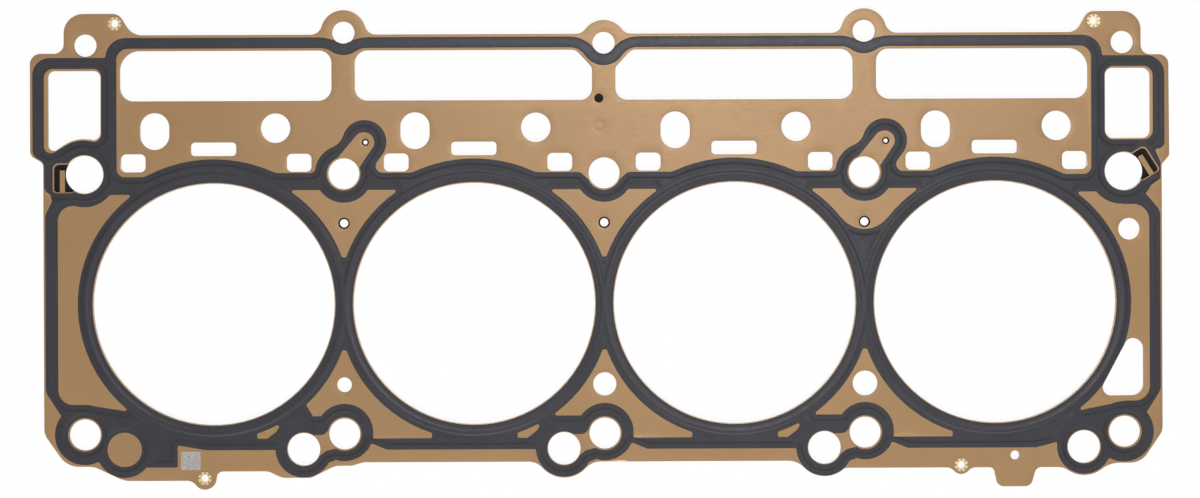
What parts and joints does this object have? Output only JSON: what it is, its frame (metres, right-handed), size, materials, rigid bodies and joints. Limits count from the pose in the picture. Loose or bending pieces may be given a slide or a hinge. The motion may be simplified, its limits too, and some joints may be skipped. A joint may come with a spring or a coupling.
{
  "type": "cylinder head gasket",
  "caption": "Flat multi-layer steel cylinder head gasket with round cylinder openings, embossed bore beads, printed sealing bands, sprung dowel tongues and rolled eyelets.",
  "frame": {"origin": "on the block's deck face, halfway along the row of bores", "axes": "+X along the row of bores, +Y towards the tappet windows, +Z from the block up to the head"},
  "size_m": [0.4957, 0.2084, 0.0015],
  "materials": {
    "lacquered_steel": "satin gold-brown lacquer over spring steel",
    "spring_steel": "satin gold-brown lacquer",
    "dark_steel": "dark coating",
    "sealing_print": "matt dark grey elastomer print",
    "eyelet_brass": "bright plated, rolled over in petals"
  },
  "bodies": {
    "root": {"upper_layer": "lacquered_steel", "upper_print": "sealing_print", "middle_layer": "spring_steel", "lower_layer": "dark_steel", "lower_print": "sealing_print", "eyelet_upper_left": "eyelet_brass", "eyelet_upper_right": "eyelet_brass", "eyelet_lower_left": "eyelet_brass", "eyelet_lower_right": "eyelet_brass"}
  },
  "joints": []
}
